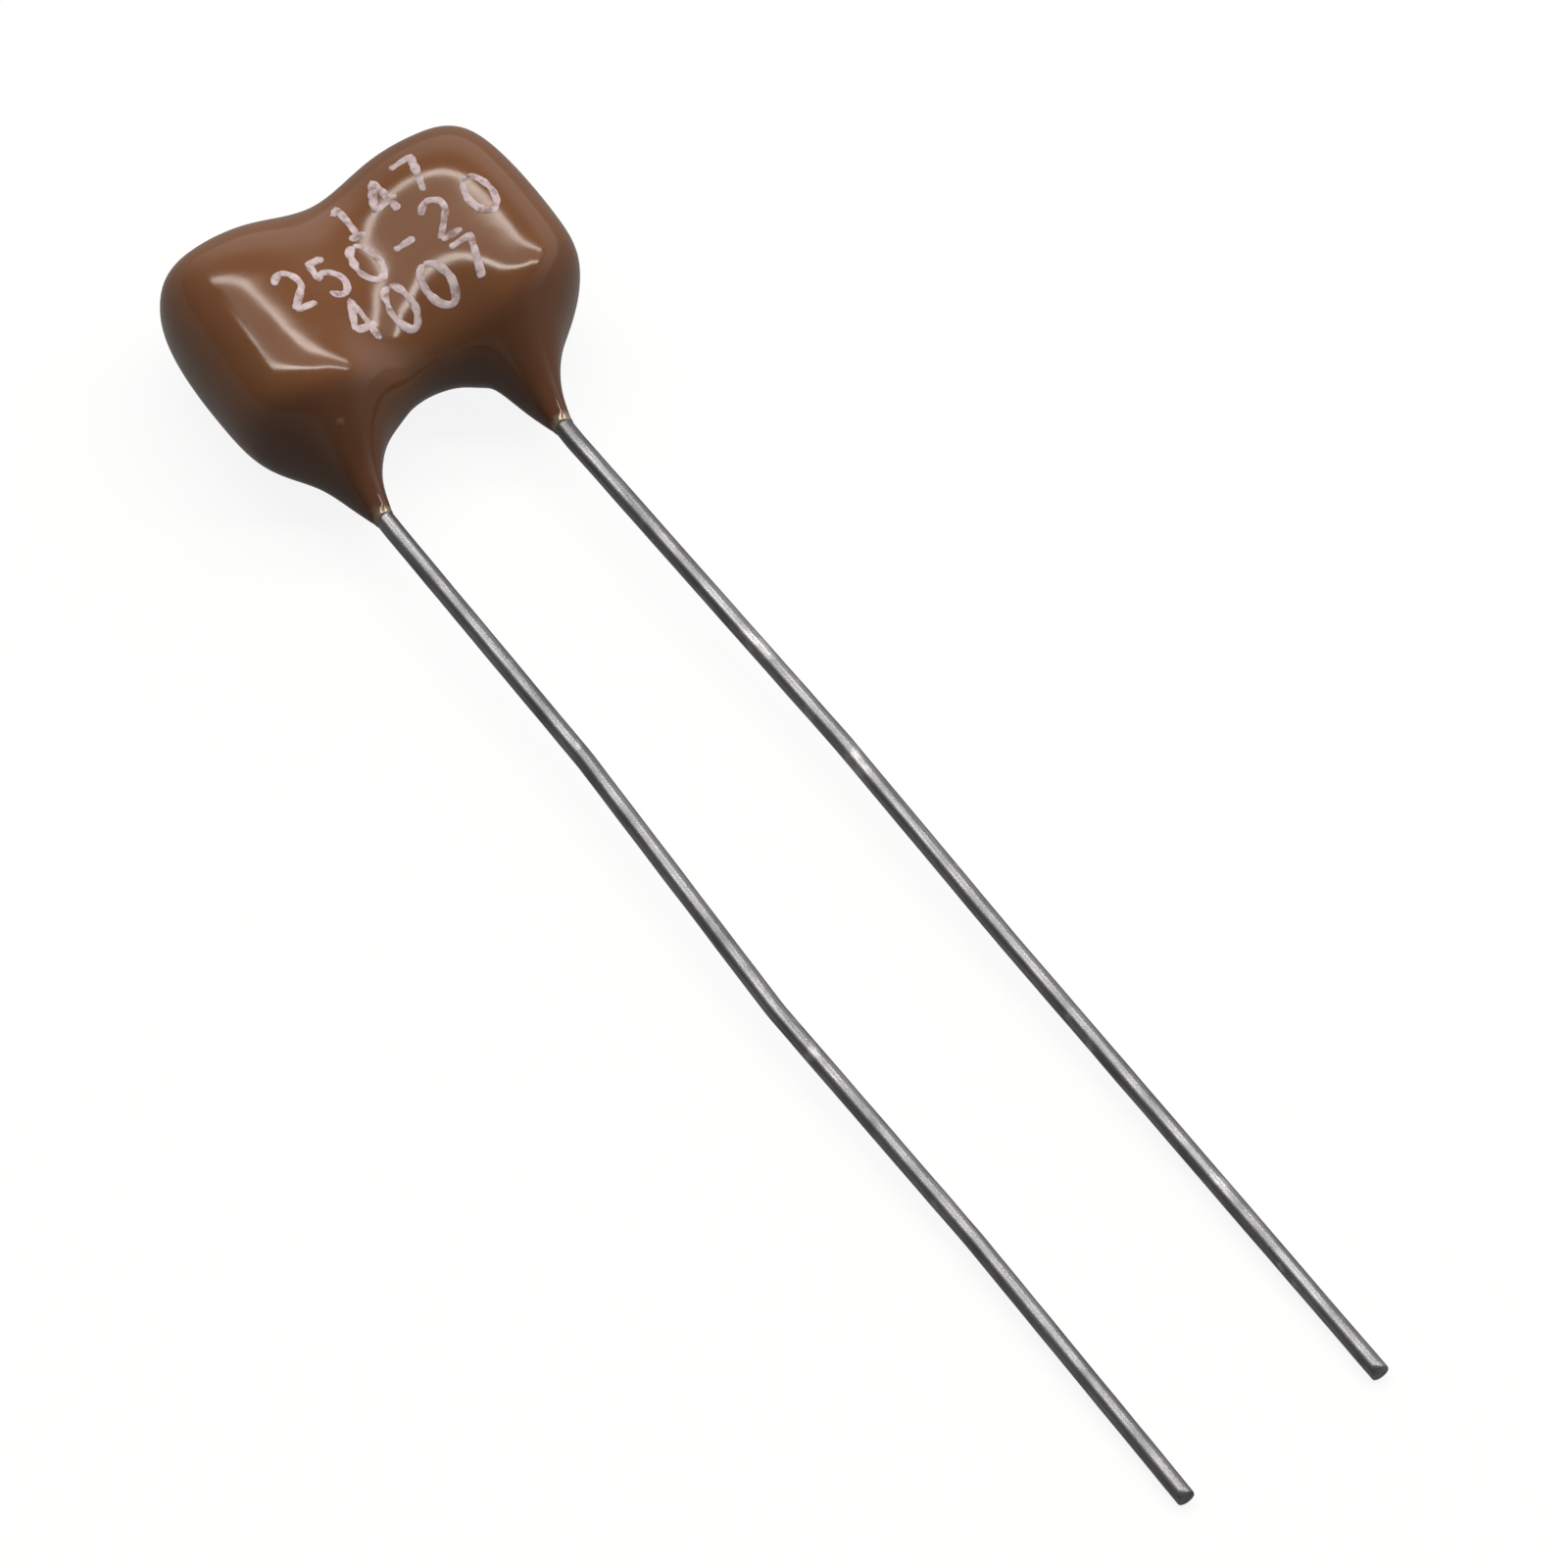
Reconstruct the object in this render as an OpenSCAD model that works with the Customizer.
// Dipped silver mica capacitor with two wire leads, lying on its back.
// All lengths are in millimetres. X runs across the leads, from the left lead to the right
// one, Y runs along them towards the body, and Z points up, out of the body's front face.
// The body rests on its back and the two cut wire ends rest on the same plane.

/* [Mica stack] */
// Length of a mica sheet, across the leads
mica_w = 7.6; // [5.6:0.1:10]
// Height of a mica sheet, along the leads
mica_h = 4.8; // [3.6:0.1:8]
// Thickness of a silvered mica sheet
mica_t = 0.07; // [0.04:0.01:0.12]
// Thickness of the plain mica guard sheet on each face of the stack
guard_t = 0.15; // [0.12:0.01:0.3]
// Number of mica sheets, with the two guards
mica_count = 16; // [6:1:24]
// Thickness of a foil
foil_t = 0.03; // [0.01:0.005:0.04]
// Bare mica left beside a foil, at its two long edges
foil_edge = 0.5; // [0.2:0.1:1]
// Bare mica left past the blind end of a foil
foil_end = 0.7; // [0.3:0.1:1.5]
// Space between the end of the mica and the innermost foil tail
tail_gap = 0.05; // [0.04:0.01:0.06]
// Length of a foil tail that shows past the end of the clamp's jaw
tail_show = 0.2; // [0.1:0.05:0.4]

/* [Clamps] */
// Thickness of the clamp strip
clamp_t = 0.25; // [0.15:0.01:0.35]
// Height of a clamp's top edge above the stack
clamp_rise = 0.1; // [0.05:0.05:0.4]
// Height of a clamp's bottom edge above the bottom of the stack
clamp_lift = 0.1; // [-0.1:0.05:0.4]
// Length of a clamp's jaw, measured from its outer end
jaw_len = 2.4; // [1.8:0.1:2.8]

/* [Leads] */
// Distance between the two leads where they leave the coating
lead_pitch = 5.9; // [5:0.1:7]
// Diameter of the lead wire
lead_d = 0.56; // [0.4:0.01:0.64]
// Thickness of the solder between the wire and the clamp
solder_film = 0.04; // [0.02:0.01:0.08]
// Width of the solder bead on the clamp
solder_w = 0.95; // [0.8:0.05:1.1]
// Length of the solder bead that is missing at each end of the jaw
solder_end = 0.5; // [0.2:0.1:1]
// Distance that the body's middle sits to the right of the leads' middle
body_shift = 0.45; // [0:0.05:0.5]
// Inside radius of the bends in the leads, at the wire's middle
bend_r = 6; // [3:0.5:10]
// Straight part of each lead just below the coating
exit_run = 0.4; // [0.2:0.1:1]
// Length of the left lead's first straight run
left_run_1 = 9.2; // [5:0.1:12]
// Length of the left lead's second straight run
left_run_2 = 9.6; // [5:0.1:12]
// Length of the left lead's third straight run
left_run_3 = 9.2; // [5:0.1:12]
// Length of the left lead's last straight run, down to the cut end
left_run_4 = 10.2; // [5:0.1:14]
// Length of the right lead's first straight run
right_run_1 = 12.4; // [5:0.1:16]
// Length of the right lead's second straight run
right_run_2 = 7.9; // [5:0.1:12]
// Length of the right lead's last straight run, down to the cut end
right_run_3 = 17.6; // [8:0.1:20]
// Chamfer left by the cutter at the end of a lead
tip_chamfer = 0.06; // [0.02:0.01:0.1]

/* [Coating] */
// Coating over the outer end of each clamp
coat_side = 1.2; // [0.9:0.05:2]
// Coating over the top edge of each clamp
coat_top = 1.4; // [1:0.05:2]
// Coating over the top edge of the stack, in the valley between the lobes
coat_valley = 0.7; // [0.5:0.05:1.2]
// Coating under the stack, in the arch between the legs
coat_arch = 0.85; // [0.6:0.05:1.5]
// Coating over the front jaws of the clamps
coat_front = 0.8; // [0.7:0.05:1.6]
// Coating behind the lead wires
coat_back = 1.15; // [0.9:0.05:2]
// Coating over the front of the stack, in the middle of the body
coat_mid_front = 0.7; // [0.5:0.05:1.4]
// Coating over the back of the stack, in the middle of the body
coat_mid_back = 1.85; // [1:0.05:2]
// Height of the arch between the legs, above the ends of the coating
arch_h = 2.4; // [1.8:0.05:4]
// Diameter of the coating where it ends on a lead
neck_d = 0.7; // [0.66:0.01:0.8]
// Height of the thin neck on each lead
neck_h = 0.9; // [0.6:0.05:1.3]
// Width of the neck at its upper end
neck_w = 1.1; // [1:0.02:1.4]
// Thickness of the neck at its upper end, front to back
neck_t = 1.6; // [1.1:0.05:1.8]
// How far the coating spreads outwards from the wire on each leg
leg_spread = 1.2; // [0.9:0.05:1.5]
// Height of the leg's widest point above the neck and the shoulder's middle
leg_lift = 0.05; // [0:0.05:0.3]
// Front face of a leg, above the wire's middle
leg_front = 2.3; // [1.6:0.1:2.4]
// Back face of a leg, below the wire's middle
leg_back = 0.85; // [0.7:0.05:1.1]
// How far the shoulder sits below the bottom edge of the stack
shoulder_drop = 0.25; // [0.1:0.05:0.6]
// How much lower the front face is at the shoulder than on the lobe
shoulder_front_slope = 0.1; // [0.05:0.05:0.4]
// How much the back face is raised at the shoulder
shoulder_back_slope = 0.6; // [0.3:0.05:0.8]
// Height of a lobe's widest point above its shoulder
side_rise = 1.6; // [1.5:0.1:3]
// How far the side of a lobe swells past its shoulder
side_swell = 0.1; // [0:0.05:0.3]
// Depth of a lobe's outer corner below its top
corner_drop = 0.55; // [0.4:0.05:1.2]
// Distance from the body's middle to the top of each lobe
lobe_x = 3.75; // [3:0.05:4]
// How far a lobe's top is rounded down at that point
lobe_round = 0.15; // [0:0.05:0.3]
// Swell of the slope between a lobe and the valley
slope_swell = 0.25; // [0:0.05:0.3]
// Distance from the arch at which the coating has its full thickness
lip_reach = 2.8; // [1.8:0.1:3]
// Distance over which the coating rounds off from its face to its edge
edge_round = 3.1; // [2:0.1:3.6]
// Squareness of that rounding: 2 is an ellipse, and more is squarer
edge_power = 2.25; // [2:0.05:3]
// Distance from the middle of the valley to where it runs out on a lobe
valley_reach = 4.1; // [3.3:0.1:4.7]

/* [Smoothness] */
// Points round a section of the coating
section_points = 36; // [20:4:40]
// Sections between one station of the coating and the next
station_steps = 4; // [2:1:4]
// Flats in the bend of a foil or clamp
bend_flats = 5; // [3:1:8]

/* [Hidden] */
foil_count = mica_count - 1;
stack_t = 2 * guard_t + (mica_count - 2) * mica_t + foil_count * foil_t;
lead_r = lead_d / 2;

// How far a cutting tool runs past what it cuts
CUT_PAST = 1;
// Powers that ease the coating into its lip at the arch and into its valley without a crease
LIP_EASE = 3;
VALLEY_EASE = 1.5;
// Power that blends the rounding's reach into half the span of a narrow section
REACH_BLEND = 6;
// Sides of a wire's section, and steps in a full turn of a bent wire
WIRE_SIDES = 48;
TURN_SIDES = 720;

// The leads' axes lie at z = 0, and the coating ends on them at y = 0
stack_back = lead_r + solder_film + clamp_t;
stack_front = stack_back + stack_t;
stack_bottom = arch_h + coat_arch;
stack_top = stack_bottom + mica_h;

// One step through the stack is a foil and the sheet above it
step_t = mica_t + foil_t;
function foil_z(k) = stack_back + guard_t + k * step_t;
function sheet_z(k) = k == 0 ? stack_back : foil_z(k - 1) + foil_t;
function sheet_t(k) = k == 0 || k == mica_count - 1 ? guard_t : mica_t;

// Foils come out at the left and at the right in turn
LEFT = -1;
RIGHT = 1;
function foil_side(k) = k % 2 == 0 ? LEFT : RIGHT;
function tail_count(side) = side == LEFT ? ceil(foil_count / 2) : floor(foil_count / 2);
function nest_t(side) = tail_count(side) * foil_t;
// The lowest foil's tail is the outermost one, so the nest is counted from the front
function nest_place(k) = floor((foil_count - 1 - k) / 2);
nest_most = max(nest_t(LEFT), nest_t(RIGHT));

mica_end = mica_w / 2;
core_end = mica_end + tail_gap;
clamp_end = core_end + nest_most + clamp_t;
clamp_bottom = stack_bottom + clamp_lift;
clamp_top = stack_top + clamp_rise;
clamp_h = clamp_top - clamp_bottom;
clamp_front = stack_front + nest_most + clamp_t;
jaw_tip = clamp_end - jaw_len;
lead_top = clamp_top - solder_end / 2;

// Points of an arc, from angle a to angle b
function arc(centre, r, a, b) = [
    for (i = [0:bend_flats])
        let (t = a + (b - a) * i / bend_flats)
            centre + r * [cos(t), sin(t)]
];

// Turns an outline in X and Z into a strip of the given width along Y
module strip(outline, bottom, width) {
    translate([0, bottom + width, 0])
        rotate([90, 0, 0])
            linear_extrude(height = width)
                polygon(outline);
}

// Moves a piece of the stack to the stack's place, and turns the left one round
module on_stack(side) {
    translate([body_shift, 0, 0])
        mirror([side == LEFT ? 1 : 0, 0, 0])
            children();
}

// ---- Mica sheets ----
module mica_sheet(k) {
    color(k == 0 || k == mica_count - 1 ? "wheat" : "silver")
        translate([body_shift - mica_end, stack_bottom, sheet_z(k)])
            cube([mica_w, mica_h, sheet_t(k)]);
}

// ---- Foils ----
// A foil lies between two sheets, turns up the end of the stack, and folds over its front
function foil_outline(k) =
    let (
        z = foil_z(k),
        nest = nest_place(k) * foil_t,
        x = core_end + nest,
        low = [x - tail_gap, z + foil_t + tail_gap],
        high = [core_end - tail_gap, stack_front - tail_gap],
        r_in = tail_gap + nest,
        r_out = r_in + foil_t,
        blind = -mica_end + foil_end,
        fold_end = jaw_tip - tail_show
    )
    concat(
        [[blind, z]],
        arc(low, tail_gap + foil_t, -90, 0),
        arc(high, r_out, 0, 90),
        [[fold_end, high.y + r_out], [fold_end, high.y + r_in]],
        arc(high, r_in, 90, 0),
        arc(low, tail_gap, 0, -90),
        [[blind, z + foil_t]]
    );

module foil(k) {
    color("lightsteelblue")
        on_stack(foil_side(k))
            strip(foil_outline(k), stack_bottom + foil_edge, mica_h - 2 * foil_edge);
}

// ---- Clamps ----
// A clamp is a strip folded round the end of the stack and pressed on the foil tails
function clamp_outline(side) =
    let (
        r_in = tail_gap + nest_t(side),
        r_out = r_in + clamp_t,
        low = [core_end + nest_t(side) - tail_gap, stack_back + tail_gap],
        high = [core_end - tail_gap, stack_front - tail_gap]
    )
    concat(
        [[jaw_tip, stack_back - clamp_t]],
        arc(low, tail_gap + clamp_t, -90, 0),
        arc(high, r_out, 0, 90),
        [[jaw_tip, high.y + r_out], [jaw_tip, high.y + r_in]],
        arc(high, r_in, 90, 0),
        arc(low, tail_gap, 0, -90),
        [[jaw_tip, stack_back]]
    );

module clamp(side) {
    color("goldenrod")
        on_stack(side)
            strip(clamp_outline(side), clamp_bottom, clamp_h);
}

// ---- Solder beads ----
// A bead runs along the wire's two sides, as high as the wire's middle
module solder(side) {
    foot = lead_r + solder_film;
    bottom = clamp_bottom + solder_end;
    length = lead_top - bottom;
    color("gainsboro")
        translate([side * lead_pitch / 2, 0, 0])
            difference() {
                strip(
                    [[-solder_w / 2, foot], [-lead_r, 0], [lead_r, 0], [solder_w / 2, foot]],
                    bottom, length
                );
                translate([0, lead_top + CUT_PAST, 0])
                    rotate([90, 0, 0])
                        cylinder(r = lead_r, h = length + 2 * CUT_PAST, $fn = WIRE_SIDES);
            }
}

// ---- Leads ----
// Each bend is a turn towards the right, in degrees, and then a straight run
left_turns = [1.5, -2.4, 3.4, -1.4];
left_runs = [left_run_1, left_run_2, left_run_3, left_run_4];
right_turns = [3.1, -1.6, 0.8];
right_runs = [right_run_1, right_run_2, right_run_3];
function turns(side) = side == LEFT ? left_turns : right_turns;
function runs(side) = side == LEFT ? left_runs : right_runs;

// Wire at a bend is pressed a little fatter, and each straight run bites into it
bend_swell = 0.01;
bend_bite = 0.05;

// Where the wire gets to, seen square to the plane of its bends
function heading(side, i) = i < 0 ? 0 : turns(side)[i] + heading(side, i - 1);
function reach(side, i) =
    let (
        before = heading(side, i - 1),
        after = heading(side, i),
        r = bend_r * sign(turns(side)[i])
    )
    r * [cos(before) - cos(after), sin(after) - sin(before)]
        + runs(side)[i] * [sin(after), cos(after)];
function wire_end(side, i) = i < 0 ? [0, 0] : reach(side, i) + wire_end(side, i - 1);
function wire_tip(side) = wire_end(side, len(runs(side)) - 1);

// The leads droop from the coating until their ends rest level with the body's back
DROOP_ROUNDS = 5;
function droop(drop, run, guess, n) =
    n < 1 ? guess : droop(drop, run, asin((drop - bend_r * (1 - cos(guess))) / run), n - 1);
function lead_droop(side) =
    droop(-skin_back - lead_r, wire_tip(side).y + bend_bite, 0, DROOP_ROUNDS);

module wire_bend(turn) {
    mirror([turn < 0 ? 1 : 0, 0, 0])
        translate([bend_r, 0, 0])
            rotate([90, 0, 0])
                rotate([0, 0, 180 - abs(turn)])
                    rotate_extrude(angle = abs(turn), $fn = TURN_SIDES)
                        translate([bend_r, 0])
                            circle(r = lead_r + bend_swell, $fn = WIRE_SIDES);
}

// Goes on from the end of a bend, along the wire
module after_bend(turn) {
    translate([sign(turn) * bend_r * (1 - cos(turn)), 0, bend_r * sin(abs(turn))])
        rotate([0, turn, 0])
            children();
}

module wire_run(side, i) {
    turn = turns(side)[i];
    run = runs(side)[i];
    last = i == len(runs(side)) - 1;
    wire_bend(turn);
    after_bend(turn) {
        translate([0, 0, -bend_bite])
            cylinder(r = lead_r, h = run + (last ? 1 : 2) * bend_bite, $fn = WIRE_SIDES);
        if (last) {
            translate([0, 0, run])
                cylinder(r1 = lead_r, r2 = lead_r - tip_chamfer, h = tip_chamfer, $fn = WIRE_SIDES);
        } else {
            translate([0, 0, run])
                wire_run(side, i + 1);
        }
    }
}

// The part of the wire inside the body, and on to the first bend
module wire_top(side, past) {
    translate([side * lead_pitch / 2, lead_top, 0])
        rotate([90, 0, 0])
            cylinder(r = lead_r, h = lead_top + past, $fn = WIRE_SIDES);
}

module lead(side) {
    down = lead_droop(side);
    color("lightgray") {
        wire_top(side, exit_run + bend_bite);
        translate([side * lead_pitch / 2, -exit_run, 0])
            rotate([90, 0, 0]) {
                rotate([0, 0, -90])
                    wire_bend(down);
                translate([0, -bend_r * (1 - cos(down)), bend_r * sin(down)])
                    rotate([down, 0, 0]) {
                        translate([0, 0, -bend_bite])
                            cylinder(r = lead_r, h = 3 * bend_bite, $fn = WIRE_SIDES);
                        translate([0, 0, bend_bite])
                            wire_run(side, 0);
                    }
            }
    }
}

// ---- Coating ----
// The skin is lofted through a cage of stations: from the end of the left neck, up the leg,
// round the left lobe, over the valley, and the same way down to the right neck.
// A station is [outer point, inner point, front, back, front at the arch, back at the arch,
// share of the body's shift, share of the valley's depth].
side_x = clamp_end + coat_side;
lobe_y = clamp_top + coat_top;
corner_y = lobe_y - corner_drop;
valley_y = stack_top + coat_valley;
shoulder_y = stack_bottom - shoulder_drop;
leg_y = (neck_h + shoulder_y) / 2 + leg_lift;
body_front = clamp_front + coat_front;
body_back = -lead_r - coat_back;
shoulder_front = body_front - shoulder_front_slope;
shoulder_back = body_back + shoulder_back_slope;
front_dip = body_front - stack_front - coat_mid_front;
back_dip = stack_back - coat_mid_back - body_back;
pitch_x = lead_pitch / 2;

// The arch is half an ellipse between the two necks. A share of it runs from 0 in its
// middle to 1 at a leg, and the faces come down evenly towards the legs.
LEG_ANGLE = 46;
function arch_point(share) =
    [(pitch_x - neck_d / 2) * sin(LEG_ANGLE * share), arch_h * cos(LEG_ANGLE * share)];
function arch_front(share) = body_front - (body_front - leg_front) * share * share;
function arch_back(share) = body_back + (-leg_back - body_back) * share * share;

// The two ends of a neck lie square to the wire
function neck_end(w, t, y, shift, depth) =
    [[pitch_x + w / 2, y], [pitch_x - w / 2, y], t / 2, -t / 2, t / 2, -t / 2, shift, depth];

// From the leg on, the stations come closer together towards the middle of the arch
arch_steps = 6;
ARCH_CLOSING = 1.9;
function on_arch(step, outer, front, back, shift, depth) =
    let (share = pow(1 - step / arch_steps, ARCH_CLOSING))
    [outer, arch_point(share), front, back, arch_front(share), arch_back(share), shift, depth];

half_cage = [
    neck_end(neck_d, neck_d, 0, 0, 0),
    neck_end(neck_w, neck_t, neck_h, 0.1, 0.1),
    // leg
    on_arch(0, [pitch_x + leg_spread, leg_y], leg_front, -leg_back, 0.4, 0.45),
    // shoulder
    on_arch(1, [side_x, shoulder_y], shoulder_front, shoulder_back, 0.8, 0.85),
    // side of the lobe
    on_arch(2, [side_x + side_swell, shoulder_y + side_rise], body_front, body_back, 1, 1),
    // upper corner of the lobe
    on_arch(3, [side_x, corner_y], body_front, body_back, 1, 1),
    // top of the lobe
    on_arch(4, [lobe_x, lobe_y - lobe_round], body_front, body_back, 1, 1),
    // slope from the lobe to the valley
    on_arch(5, [lobe_x / 2, (lobe_y + valley_y) / 2 + slope_swell], body_front, body_back, 1, 1),
    // middle of the valley
    on_arch(6, [0, valley_y], body_front, body_back, 1, 1)
];
half_count = len(half_cage) - 1;

// Mirrors the half cage about the valley, and moves each station by its share of the shift
function station(i) =
    let (
        side = i <= half_count ? LEFT : RIGHT,
        s = half_cage[i <= half_count ? i : 2 * half_count - i],
        shift = [s[6] * body_shift, 0]
    )
    [
        [side * s[0].x, s[0].y] + shift,
        [side * s[1].x, s[1].y] + shift,
        [s[2], s[3]],
        [s[4], s[5]],
        s[7]
    ];
cage = [for (i = [0:2 * half_count]) station(i)];
last_station = len(cage) - 1;

// Past each end, the cage goes on as a mirror image, so that the loft reaches its end station
function cage_at(i) =
    i < 0 ? 2 * cage[0] - cage[-i]
    : i > last_station ? 2 * cage[last_station] - cage[2 * last_station - i]
    : cage[i];

// A cubic B-spline from station i towards the next, for f from 0 to 1
function loft_at(i, f) = (
    pow(1 - f, 3) * cage_at(i - 1)
    + (3 * pow(f, 3) - 6 * pow(f, 2) + 4) * cage_at(i)
    + (-3 * pow(f, 3) + 3 * pow(f, 2) + 3 * f + 1) * cage_at(i + 1)
    + pow(f, 3) * cage_at(i + 2)
) / 6;

// Height of the rounded edge at a distance from it, from 0 at the edge to 1 on the face
function edge(distance, r) = pow(1 - pow(max(0, 1 - distance / r), edge_power), 1 / edge_power);
// Depth of the valley at x, from 1 in its middle to 0 on the lobes
function valley(x) =
    pow((1 + cos(180 * min(1, abs(x - body_shift) / valley_reach))) / 2, VALLEY_EASE);
// How much of the full thickness the coating has lost at a distance from the arch
function lip(distance) = pow(1 - min(1, distance / lip_reach), LIP_EASE);
// The rounding's reach, which stays short of half the span where a section is narrow
function rounding(span) =
    pow(pow(edge_round, -REACH_BLEND) + pow(span / 2, -REACH_BLEND), -1 / REACH_BLEND);
function section(s) =
    let (
        span = norm(s[1] - s[0]),
        r = rounding(span)
    )
    [
        for (j = [0:section_points - 1])
            let (
                a = 360 * j / section_points,
                along = (1 - cos(a)) / 2,
                p = s[0] + along * (s[1] - s[0]),
                dip = s[4] * valley(p.x),
                faces = s[2] + (s[3] - s[2]) * lip((1 - along) * span),
                middle = (faces[0] + faces[1]) / 2,
                face = a < 180 ? faces[0] - front_dip * dip : faces[1] + back_dip * dip,
                height = edge(along * span, r) * edge((1 - along) * span, r)
            )
                [p.x, p.y, middle + (face - middle) * height]
    ];

skin_sections = [
    for (i = [0:last_station - 1], n = [0:station_steps - 1])
        section(loft_at(i, n / station_steps)),
    section(loft_at(last_station, 0))
];
skin_points = [for (s = skin_sections, p = s) p];
skin_back = min([for (p = skin_points) p.z]);

module skin() {
    rings = len(skin_sections);
    n = section_points;
    polyhedron(
        points = skin_points,
        faces = concat(
            [[for (j = [0:n - 1]) j]],
            [[for (j = [n - 1:-1:0]) (rings - 1) * n + j]],
            [
                for (r = [0:rings - 2], j = [0:n - 1])
                    let (a = r * n + j, b = r * n + (j + 1) % n)
                        each [[a, a + n, b], [b, a + n, b + n]]
            ]
        )
    );
}

// The room that the stack and its foil tails take up at one end
function tail_space_outline(side) =
    let (
        nest = nest_t(side),
        low = [core_end + nest - tail_gap, stack_back + tail_gap],
        high = [core_end - tail_gap, stack_front - tail_gap],
        fold_end = jaw_tip - tail_show
    )
    concat(
        [[0, stack_back]],
        arc(low, tail_gap, -90, 0),
        arc(high, tail_gap + nest, 0, 90),
        [[fold_end, stack_front + nest], [fold_end, stack_front], [0, stack_front]]
    );

module stack_space(side) {
    on_stack(side) {
        translate([0, stack_bottom, stack_back])
            cube([mica_end, mica_h, stack_t]);
        strip(tail_space_outline(side), stack_bottom + foil_edge, mica_h - 2 * foil_edge);
    }
}

module coating() {
    color("saddlebrown")
        difference() {
            skin();
            for (side = [LEFT, RIGHT]) {
                stack_space(side);
                clamp(side);
                solder(side);
                wire_top(side, CUT_PAST);
            }
        }
}

// ---- Placing ----
// The origin is under the middle of the whole part
function tip_xy(side) =
    let (tip = wire_tip(side), down = lead_droop(side))
        [
            side * pitch_x + tip.x,
            -exit_run - bend_r * sin(down) - (tip.y + bend_bite + tip_chamfer) * cos(down)
        ];
low_y = min(tip_xy(LEFT).y, tip_xy(RIGHT).y);
high_y = max([for (p = skin_points) p.y]);
low_x = min([for (p = skin_points) p.x]);
high_x = max([for (p = skin_points) p.x]);
module placed() {
    translate([-(low_x + high_x) / 2, -(low_y + high_y) / 2, -skin_back])
        children();
}

function two_digits(k) = str(k < 10 ? "0" : "", k);
function mica_name(k) = str("mica_sheet_", two_digits(k + 1));
function foil_name(k) =
    str(foil_side(k) == LEFT ? "foil_left_" : "foil_right_", two_digits(floor(k / 2) + 1));

placed() coating();
placed() lead(LEFT);  // lead_left
placed() lead(RIGHT);  // lead_right
placed() clamp(LEFT);  // clamp_left
placed() clamp(RIGHT);  // clamp_right
placed() solder(LEFT);  // solder_left
placed() solder(RIGHT);  // solder_right
for (k = [0:mica_count - 1]) {
    placed() mica_sheet(k);
}
for (k = [0:foil_count - 1]) {
    placed() foil(k);
}
